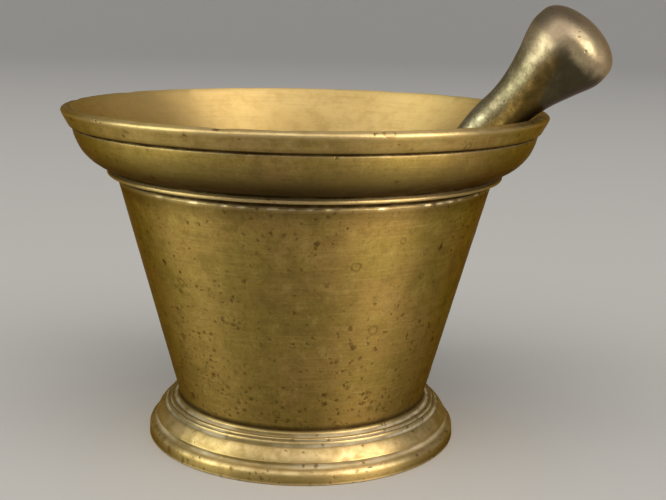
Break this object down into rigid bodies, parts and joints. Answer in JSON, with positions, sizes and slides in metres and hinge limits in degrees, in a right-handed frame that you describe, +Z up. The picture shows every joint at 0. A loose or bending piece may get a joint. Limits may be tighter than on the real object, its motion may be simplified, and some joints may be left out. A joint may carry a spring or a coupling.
{
  "type": "mortar and pestle",
  "caption": "Cast bronze mortar with a flared, moulded rim and a stepped foot, with a loose club-headed pestle leaning in its bowl.",
  "frame": {"origin": "centre of the flat underside of the mortar's foot", "axes": "+Z up along the mortar's axis; the pestle leans on the lip on the +X side, turned a little towards -Y; the usual front is -Y"},
  "size_m": [0.1957, 0.179, 0.1642],
  "materials": {
    "mortar_bronze": "turned and handled satin bronze with a brown-gold patina, worn bright on the edges and dark in the grooves and pits",
    "pestle_bronze": "smooth, glossy olive-brown bronze, mottled, with small pits and a coppery end"
  },
  "bodies": {
    "mortar": {"mortar": "mortar_bronze"},
    "pestle": {"pestle": "pestle_bronze"}
  },
  "joints": [
    {"name": "pestle_lift", "type": "slide", "parent": "mortar", "child": "pestle", "axis": [0, 0, 1], "range_m": [0, 0.15]}
  ]
}
